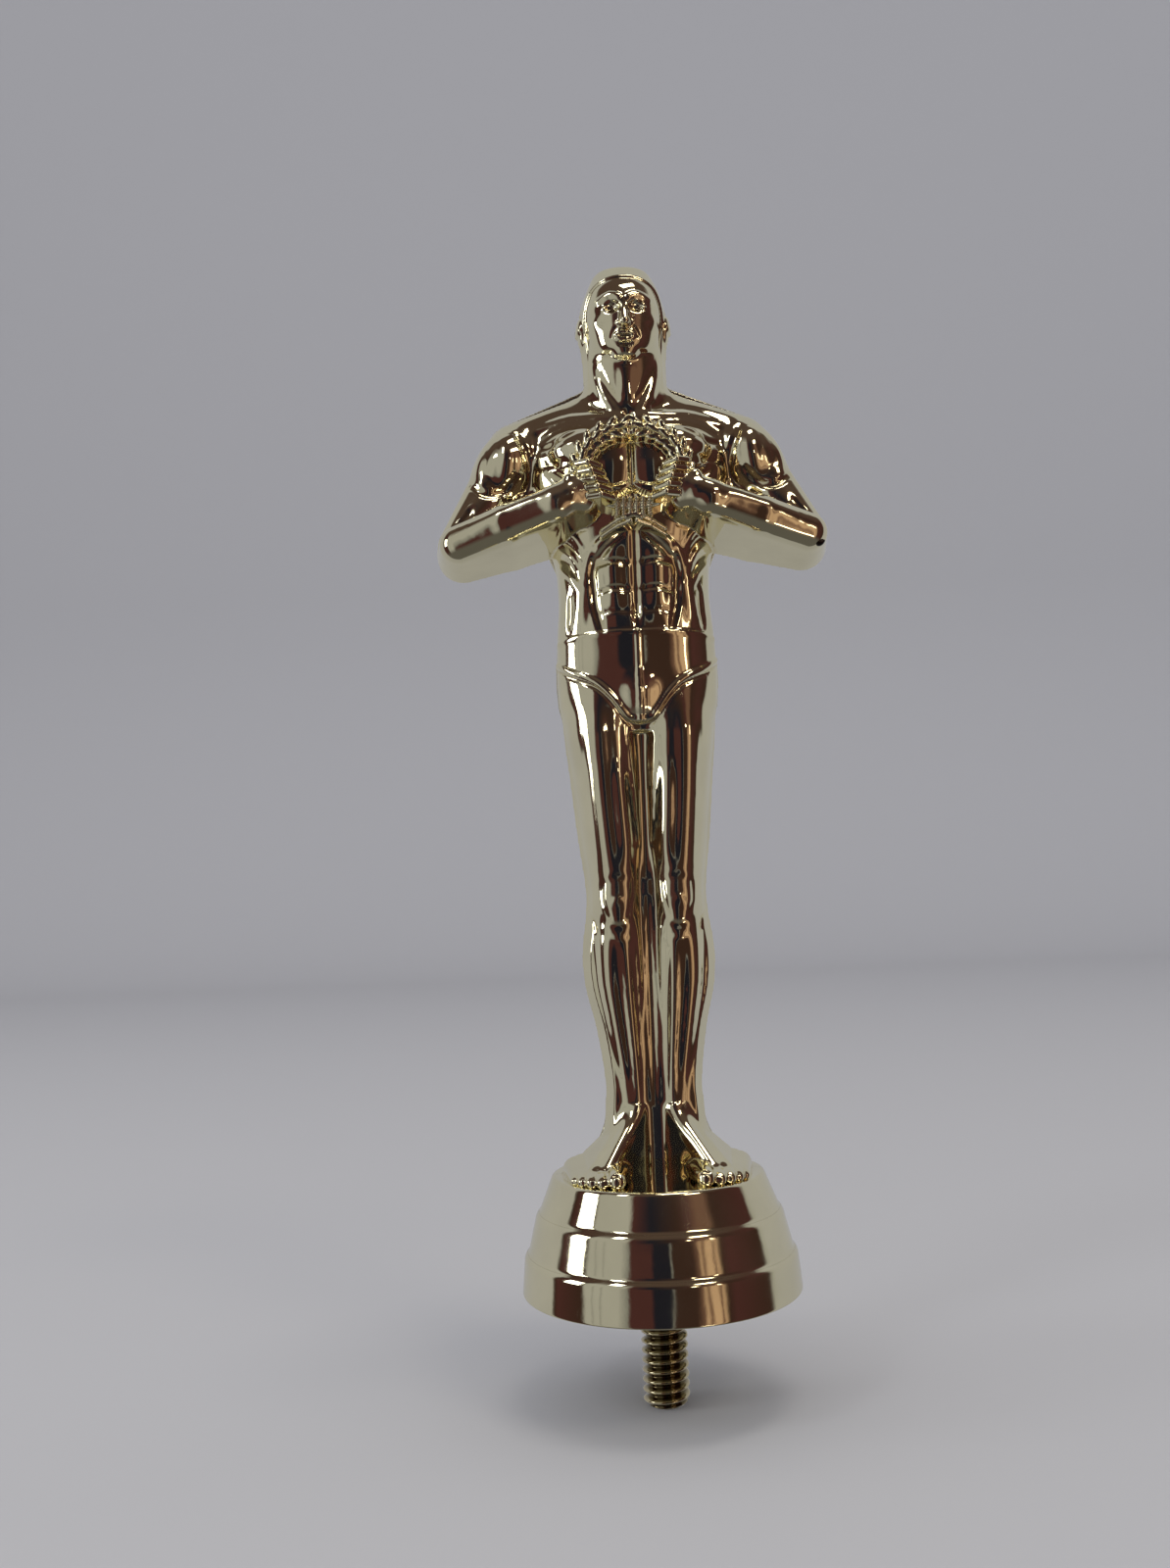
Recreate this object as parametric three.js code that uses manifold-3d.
// Wreath victory figure: a trophy topper.
// Two hollow moulded half shells meet at a seam that runs through the ears, the arms and the legs.
// Between them, in the pedestal, they trap the hex head of the bolt that holds the figure on its
// trophy. Millimetres, +Z up, the figure faces -Y, and the origin is where the bolt leaves the
// underside of the pedestal.

import * as THREE from "three";
import { mergeVertices } from "three/addons/utils/BufferGeometryUtils.js";
import { ConvexGeometry } from "three/addons/geometries/ConvexGeometry.js";
import Module from "manifold-3d";

const wasm = await Module();
wasm.setup();

// ---------------------------------------------------------------- driving dimensions

// The pedestal's three tiers, lowest first: height of the wall, radius at its foot and at its top edge.
const TIERS = [
  { height: 4.9, footRadius: 19.05, topRadius: 18.6 },
  { height: 4.6, footRadius: 18.0, topRadius: 16.9 },
  { height: 4.5, footRadius: 16.3, topRadius: 14.5 },
];
const LEDGE_RISE = 0.75;

// Shells.
const WALL = 1.5;
const SEAM_GAP = 0.3;
const RIB_THICKNESS = 1.4;
const RIB_FOOT = 1.2;

// Bolt, a 1/4-20 hex head bolt.
const BOLT_RADIUS = 3.175;
const BOLT_REACH = 15.4;
const BOLT_CHAMFER = 0.7;
const HEAD_ACROSS_FLATS = 11.1;
const HEAD_HEIGHT = 4;
const HEAD_SEAT = 4.2;
const BOLT_CLEARANCE = 0.3;
const BOSS_WALL = 1.6;

// Locating pegs on the front shell and their sockets in the back shell.
const PEG_RADIUS = 1.1;
const PEG_LENGTH = 2.4;
const PEG_CLEARANCE = 0.2;
const SOCKET_WALL = 1.1;

// Legs: segment lengths and half widths.
const FOOT_HEIGHT = 8.5;
const SHIN_LENGTH = 26.5;
const THIGH_LENGTH = 29.5;
const ANKLE_RADIUS = 3.1;
const CALF_RADIUS = 4.7;
const CALF_DROP = 5.5;
const KNEE_RADIUS = 4.3;
const THIGH_RADIUS = 6.2;
const FOOT_LENGTH = 12.5;
const FOOT_TURNOUT = THREE.MathUtils.degToRad(35);
const FOOT_HALF_WIDTH = 2.7;
const FOOT_THICKNESS = 2.4;

// Trunk: the pelvis, waist and chest as ellipsoids, each with its centre's rise above the hips.
const PELVIS = { rise: 2.5, halfWidth: 11.3, halfDepth: 7.6, halfHeight: 7 };
const WAIST = { rise: 13.5, halfWidth: 10.6, halfDepth: 6.6, halfHeight: 6 };
const CHEST = { rise: 28, halfWidth: 13.4, halfDepth: 8.6, halfHeight: 10.5 };

// Shoulders, neck and head.
const SHOULDER_RISE = 7.5;
const SHOULDER_REACH = 17.6;
const SHOULDER_RADIUS = 5.6;
const YOKE = { halfWidth: 15, halfDepth: 6, halfHeight: 5 };
const NECK_RADIUS = 5.5;
const NECK_RISE = 22;
const HEAD_RISE = 28;
const HEAD = { halfWidth: 6.2, halfDepth: 7.5, halfHeight: 7.6 };
const JAW = { drop: 4.4, forward: 3, halfWidth: 4.6, halfDepth: 4.4, halfHeight: 3.4 };

// Arms, hands and wreath.
const ELBOW_REACH = 24.6;
const ELBOW_DROP = 14.4;
const ELBOW_FORWARD = 6.4;
const ELBOW_RADIUS = 3.5;
const UPPER_ARM_RADIUS = 4.9;
const WRIST_RADIUS = 3;
const WRIST_DROP = 5;
const ARM_WEB = { frontY: -3.6, backY: 1.2 };
const HAND_RADIUS = 3.3;
const WREATH = { halfWidth: 8.6, halfHeight: 6.7, holeHalfWidth: 4.6, holeHalfHeight: 4.4 };
const WREATH_RISE = 3.6;
const WREATH_STANDOFF = 4.4;
const RIBBON_LENGTH = 4.8;
const RIBBON_RADIUS = 1.1;
const RIBBON_DROOP = THREE.MathUtils.degToRad(34);

// Facets.
const ROUND_STEPS = 48;
const BALL_STEPS = 18;
const LIMB_STEPS = 14;
const BOLT_STEPS = 32;
const PEG_STEPS = 12;

const GOLD = { color: 0xd9cda0, roughness: 0.08, metalness: 1 };

// ---------------------------------------------------------------- heights worked out from the lengths

const pedestalTop = TIERS.reduce((top, tier) => top + tier.height + LEDGE_RISE, 0) - LEDGE_RISE;
const ankleZ = pedestalTop + FOOT_HEIGHT;
const kneeZ = ankleZ + SHIN_LENGTH;
const hipZ = kneeZ + THIGH_LENGTH;
const chestZ = hipZ + CHEST.rise;
const shoulderZ = chestZ + SHOULDER_RISE;
const headZ = chestZ + HEAD_RISE;
const elbowZ = shoulderZ - ELBOW_DROP;
const wreathZ = chestZ + WREATH_RISE;
const wreathFrontY = -(CHEST.halfDepth + WREATH_STANDOFF);
const OUTSIDE = 4 * headZ;

// ---------------------------------------------------------------- solids

/** Turns a closed three.js geometry into a solid that can be joined and cut. */
function solid(geometry) {
  const bare = geometry.clone();
  bare.deleteAttribute("normal");
  bare.deleteAttribute("uv");
  const merged = mergeVertices(bare, 1e-4);
  const index = merged.index.array;
  const corners = [];
  for (let i = 0; i < index.length; i += 3) {
    const [a, b, c] = [index[i], index[i + 1], index[i + 2]];
    if (a !== b && b !== c && c !== a) corners.push(a, b, c);
  }
  return new wasm.Manifold(new wasm.Mesh({
    numProp: 3,
    vertProperties: new Float32Array(merged.attributes.position.array),
    triVerts: new Uint32Array(corners),
  }));
}

/** Turns a solid back into a three.js geometry. */
function geometryOf(shape) {
  const mesh = shape.getMesh();
  const geometry = new THREE.BufferGeometry();
  geometry.setAttribute("position", new THREE.BufferAttribute(mesh.vertProperties, 3));
  geometry.setIndex(new THREE.BufferAttribute(mesh.triVerts, 1));
  geometry.computeVertexNormals();
  return geometry;
}

function joined(shapes) {
  return shapes.reduce((whole, shape) => whole.add(shape));
}

/** Runs a builder for the right side (+1) and the left side (-1) and joins what it makes. */
function bothSides(build) {
  return joined([...build(1), ...build(-1)]);
}

function ball(centre, halfWidth, halfDepth, halfHeight) {
  const geometry = new THREE.SphereGeometry(1, BALL_STEPS, Math.round(BALL_STEPS * 0.6));
  geometry.rotateX(Math.PI / 2);
  geometry.scale(halfWidth, halfDepth, halfHeight);
  geometry.translate(...centre);
  return solid(geometry);
}

/** A box from one corner to the opposite one. */
function block(low, high) {
  const size = high.map((value, i) => value - low[i]);
  const geometry = new THREE.BoxGeometry(...size);
  geometry.translate(...low.map((value, i) => value + size[i] / 2));
  return solid(geometry);
}

/** A turned solid about the Z axis; profile points are [radius, z] from bottom to top. */
function turned(profile, steps) {
  const geometry = new THREE.LatheGeometry(profile.map(([r, z]) => new THREE.Vector2(r, z)), steps);
  geometry.rotateX(Math.PI / 2);
  return solid(geometry);
}

/** An upright prism with its foot at z. */
function prism(radius, z, height, steps) {
  const geometry = new THREE.CylinderGeometry(radius, radius, height, steps);
  geometry.rotateX(Math.PI / 2);
  geometry.translate(0, 0, z + height / 2);
  return solid(geometry);
}

/** A round pin along Y, from backY forward to frontY. */
function crossPin(radius, x, z, frontY, backY) {
  const geometry = new THREE.CylinderGeometry(radius, radius, backY - frontY, PEG_STEPS);
  geometry.translate(x, (frontY + backY) / 2, z);
  return solid(geometry);
}

/**
 * The smooth skin stretched over two ellipsoids, each { at: [x, y, z], halfWidth, halfDepth, halfHeight }.
 * With backY it also runs straight back to that depth, as a moulded web does.
 */
function stretched(from, to, backY) {
  const points = [];
  const sphere = new THREE.SphereGeometry(1, LIMB_STEPS, Math.round(LIMB_STEPS / 2));
  sphere.rotateX(Math.PI / 2);
  const position = sphere.attributes.position;
  for (const end of [from, to]) {
    const scale = new THREE.Vector3(end.halfWidth, end.halfDepth, end.halfHeight);
    for (let i = 0; i < position.count; i += 1) {
      const point = new THREE.Vector3().fromBufferAttribute(position, i);
      point.multiply(scale).add(new THREE.Vector3(...end.at));
      points.push(point);
      if (backY !== undefined) points.push(new THREE.Vector3(point.x, backY, point.z));
    }
  }
  return solid(new ConvexGeometry(points));
}

/** A tapered limb with round ends; each end is { at: [x, y, z], radius }. */
function limb(from, to, backY) {
  const round = ({ at, radius }) => ({ at, halfWidth: radius, halfDepth: radius, halfHeight: radius });
  return stretched(round(from), round(to), backY);
}

/** A flat plate with its outline in the XZ plane, from frontY back to backY. */
function plate(shape, frontY, backY) {
  const geometry = new THREE.ExtrudeGeometry(shape, {
    depth: backY - frontY,
    bevelEnabled: false,
    curveSegments: BALL_STEPS,
  });
  geometry.rotateX(Math.PI / 2);
  geometry.translate(0, backY, 0);
  return solid(geometry);
}

// ---------------------------------------------------------------- pedestal

function pedestalOutside() {
  const profile = [[0, 0]];
  let z = 0;
  for (const tier of TIERS) {
    profile.push([tier.footRadius, z], [tier.topRadius, z + tier.height]);
    z += tier.height + LEDGE_RISE;
  }
  profile.push([0, pedestalTop]);
  return turned(profile, ROUND_STEPS);
}

/** The hollow under the pedestal, open at the bottom: each tier keeps the wall's thickness. */
function pedestalInside() {
  const profile = [[0, -WALL]];
  let foot = -WALL;
  let top = 0;
  for (const tier of TIERS) {
    top += tier.height;
    const radius = tier.topRadius - WALL;
    profile.push([radius, foot], [radius, top - WALL]);
    foot = top - WALL;
    top += LEDGE_RISE;
  }
  profile.push([0, foot]);
  return turned(profile, ROUND_STEPS);
}

const pocketRadius = (HEAD_ACROSS_FLATS / 2 + BOLT_CLEARANCE) / Math.cos(Math.PI / 6);
const bossRadius = pocketRadius + BOSS_WALL;

/** Boss round the bolt's head, and the ribs that tie it to the pedestal's wall. */
function bossAndRibs() {
  const boss = prism(bossRadius, 0, pedestalTop - WALL / 2, ROUND_STEPS);
  const reach = TIERS[0].footRadius;
  const half = RIB_THICKNESS / 2;
  const rib = block([-reach, -half, RIB_FOOT], [reach, half, pedestalTop - WALL / 2]);
  return joined([boss, rib.rotate([0, 0, 45]), rib.rotate([0, 0, -45])]);
}

function boltPocket() {
  const pocket = prism(pocketRadius, HEAD_SEAT, HEAD_HEIGHT + 2 * BOLT_CLEARANCE, 6);
  const bore = prism(BOLT_RADIUS + BOLT_CLEARANCE, -WALL, HEAD_SEAT + 2 * WALL, BOLT_STEPS);
  return joined([pocket, bore]);
}

// ---------------------------------------------------------------- figure

/** The trunk, head and legs, with every radius drawn in by inset: 0 is the skin, WALL the hollow. */
function core(inset) {
  const mass = (z, size) => ({
    at: [0, 0, z],
    halfWidth: size.halfWidth - inset,
    halfDepth: size.halfDepth - inset,
    halfHeight: size.halfHeight - inset,
  });
  const end = (at, radius) => ({ at, radius: radius - inset });
  const legs = bothSides((side) => {
    const hip = end([side * (PELVIS.halfWidth - THIGH_RADIUS), -0.4, hipZ], THIGH_RADIUS);
    const knee = end([side * KNEE_RADIUS, -1.2, kneeZ], KNEE_RADIUS);
    const calf = end([side * (CALF_RADIUS - 0.2), 0.8, kneeZ - CALF_DROP], CALF_RADIUS);
    const ankle = end([side * (ANKLE_RADIUS + 0.2), 0.6, ankleZ], ANKLE_RADIUS);
    return [limb(hip, knee), limb(knee, calf), limb(calf, ankle)];
  });
  const neckFoot = end([0, 0.8, shoulderZ + 4], NECK_RADIUS + 0.5);
  const neckTop = end([0, 0.4, chestZ + NECK_RISE], NECK_RADIUS - 0.3);
  const waist = mass(hipZ + WAIST.rise, WAIST);
  const head = mass(headZ, HEAD);
  return joined([
    legs,
    stretched(mass(hipZ + PELVIS.rise, PELVIS), waist),
    stretched(waist, mass(chestZ, CHEST)),
    limb(neckFoot, neckTop),
    ball(head.at, head.halfWidth, head.halfDepth, head.halfHeight),
  ]);
}

/** The yoke that slopes from the neck out to the shoulders. */
function yoke() {
  const neckSize = { halfWidth: NECK_RADIUS + 1, halfDepth: NECK_RADIUS - 0.5, halfHeight: 2 };
  return stretched({ at: [0, 0.8, shoulderZ + 1], ...YOKE }, { at: [0, 1.4, shoulderZ + 9], ...neckSize });
}

/** The shoulders and arms: solid, with the web behind each forearm that lets the mould open. */
function arms() {
  return bothSides((side) => {
    const shoulder = { at: [side * SHOULDER_REACH, 0.4, shoulderZ], radius: SHOULDER_RADIUS };
    const elbow = { at: [side * ELBOW_REACH, -ELBOW_FORWARD, elbowZ], radius: ELBOW_RADIUS };
    const armTop = { at: [side * (SHOULDER_REACH + 0.8), 0, shoulderZ - 2], radius: UPPER_ARM_RADIUS };
    const wristY = wreathFrontY + WRIST_RADIUS + 0.6;
    const wristAt = [side * (WREATH.halfWidth + 0.4), wristY, wreathZ - WRIST_DROP];
    const wrist = { at: wristAt, radius: WRIST_RADIUS };
    const web = new THREE.Shape([
      new THREE.Vector2(side * 4, shoulderZ),
      new THREE.Vector2(side * 4, elbowZ + 2),
      new THREE.Vector2(side * ELBOW_REACH, elbowZ),
      new THREE.Vector2(side * SHOULDER_REACH, shoulderZ),
    ]);
    return [
      limb(shoulder, { ...shoulder, at: [side * CHEST.halfWidth * 0.6, 0, shoulderZ - 2] }),
      limb(armTop, elbow),
      limb(elbow, wrist, 1),
      plate(web, ARM_WEB.frontY, ARM_WEB.backY),
    ];
  });
}

/** The wreath ring held against the chest, the hands on it and the ribbon tails under it. */
function wreathAndHands() {
  const ring = new THREE.Shape();
  ring.absellipse(0, wreathZ, WREATH.halfWidth, WREATH.halfHeight, 0, 2 * Math.PI);
  const hole = new THREE.Path();
  hole.absellipse(0, wreathZ, WREATH.holeHalfWidth, WREATH.holeHalfHeight, 0, 2 * Math.PI, true);
  ring.holes.push(hole);
  const handX = WREATH.halfWidth - HAND_RADIUS + 0.4;
  const hands = bothSides((side) => {
    const knotZ = wreathZ - WREATH.halfHeight + 0.4;
    const knot = { at: [side * 0.8, wreathFrontY + 1.4, knotZ], radius: RIBBON_RADIUS };
    const tailEnd = [
      knot.at[0] + side * RIBBON_LENGTH * Math.cos(RIBBON_DROOP),
      wreathFrontY + 3.4,
      knotZ - RIBBON_LENGTH * Math.sin(RIBBON_DROOP),
    ];
    const palm = [side * handX, wreathFrontY + HAND_RADIUS - 0.8, wreathZ - 2];
    return [
      ball(palm, HAND_RADIUS * 0.8, HAND_RADIUS, HAND_RADIUS),
      limb(knot, { at: tailEnd, radius: RIBBON_RADIUS }, -CHEST.halfDepth / 2),
    ];
  });
  return joined([plate(ring, wreathFrontY, -CHEST.halfDepth / 2), hands]);
}

/** The jaw, the feet, and the flare that carries the ankles down to the pedestal. */
function jawFeetAndFlare() {
  const jawAt = [0, -JAW.forward, headZ - JAW.drop];
  const jaw = ball(jawAt, JAW.halfWidth, JAW.halfDepth, JAW.halfHeight);
  const feet = bothSides((side) => {
    const heelX = side * (ANKLE_RADIUS + 0.2);
    const ankle = { at: [heelX, 0.6, ankleZ], radius: ANKLE_RADIUS };
    const sole = { halfWidth: FOOT_HALF_WIDTH, halfDepth: FOOT_HALF_WIDTH, halfHeight: FOOT_THICKNESS };
    const heel = { at: [heelX, 1, pedestalTop], ...sole };
    const toe = {
      at: [
        heelX + side * (FOOT_LENGTH - FOOT_HALF_WIDTH) * Math.sin(FOOT_TURNOUT),
        1 - (FOOT_LENGTH - FOOT_HALF_WIDTH) * Math.cos(FOOT_TURNOUT),
        pedestalTop,
      ],
      ...sole,
    };
    const instep = { at: [heelX, -0.6, ankleZ - 1], radius: ANKLE_RADIUS * 0.7 };
    const top = { at: toe.at.map((value, i) => (value + instep.at[i]) / 2), radius: FOOT_THICKNESS };
    return [limb(ankle, { at: heel.at, radius: FOOT_HALF_WIDTH }), stretched(heel, toe), limb(instep, top)];
  });
  const top = TIERS[TIERS.length - 1].topRadius - 0.6;
  const curve = new THREE.QuadraticBezierCurve(
    new THREE.Vector2(top, pedestalTop - WALL),
    new THREE.Vector2(ANKLE_RADIUS + 4, pedestalTop + 2),
    new THREE.Vector2(ANKLE_RADIUS + 2.2, ankleZ),
  );
  const profile = curve.getPoints(6).map((point) => [point.x, point.y]);
  const flare = turned([[0, pedestalTop - WALL], ...profile, [0, ankleZ]], ROUND_STEPS);
  const behind = block([-OUTSIDE, -1.5, 0], [OUTSIDE, OUTSIDE, OUTSIDE]);
  const under = prism(top + 2, 0, OUTSIDE, ROUND_STEPS);
  return joined([jaw, feet.intersect(under), flare.intersect(behind)]);
}

// ---------------------------------------------------------------- the two shells

const pegPlaces = [
  [0, headZ],
  [0, chestZ - 6],
  [0, hipZ + PELVIS.rise],
  [bossRadius + 4.2, HEAD_SEAT],
  [-bossRadius - 4.2, HEAD_SEAT],
];
const socketRadius = PEG_RADIUS + PEG_CLEARANCE;
const depthReach = TIERS[0].footRadius;

const skin = joined([pedestalOutside(), core(0), yoke(), arms(), wreathAndHands(), jawFeetAndFlare()]);
const hollow = joined([pedestalInside(), core(WALL)]);
const bosses = joined(pegPlaces.map(([x, z]) => {
  return crossPin(socketRadius + SOCKET_WALL, x, z, -depthReach, depthReach);
}));
const inserts = joined([bossAndRibs(), bosses]).intersect(skin);
const moulding = skin.subtract(hollow).add(inserts).subtract(boltPocket());

const frontHalf = block([-OUTSIDE, -OUTSIDE, -OUTSIDE], [OUTSIDE, -SEAM_GAP / 2, OUTSIDE]);
const backHalf = block([-OUTSIDE, SEAM_GAP / 2, -OUTSIDE], [OUTSIDE, OUTSIDE, OUTSIDE]);
const pegs = joined(pegPlaces.map(([x, z]) => crossPin(PEG_RADIUS, x, z, -WALL, PEG_LENGTH)));
const sockets = joined(pegPlaces.map(([x, z]) => {
  return crossPin(socketRadius, x, z, -SEAM_GAP, PEG_LENGTH + PEG_CLEARANCE);
}));

const frontShell = moulding.intersect(frontHalf).add(pegs);
const backShell = moulding.intersect(backHalf).subtract(sockets);

// ---------------------------------------------------------------- the bolt

function bolt() {
  const seat = HEAD_SEAT + BOLT_CLEARANCE;
  const shank = turned([
    [0, -BOLT_REACH],
    [BOLT_RADIUS - BOLT_CHAMFER, -BOLT_REACH],
    [BOLT_RADIUS, -BOLT_REACH + BOLT_CHAMFER],
    [BOLT_RADIUS, seat + HEAD_HEIGHT / 2],
    [0, seat + HEAD_HEIGHT / 2],
  ], BOLT_STEPS);
  const head = prism(HEAD_ACROSS_FLATS / 2 / Math.cos(Math.PI / 6), seat, HEAD_HEIGHT, 6);
  return joined([shank, head]);
}

// ---------------------------------------------------------------- the assembly

const trophy = new THREE.Group();
trophy.name = "wreath_figure_trophy";

function addPart(name, shape) {
  const mesh = new THREE.Mesh(geometryOf(shape), new THREE.MeshStandardMaterial(GOLD));
  mesh.name = name;
  trophy.add(mesh);
}

addPart("front_shell", frontShell);
addPart("back_shell", backShell);
addPart("threaded_stud", bolt());

export default trophy;
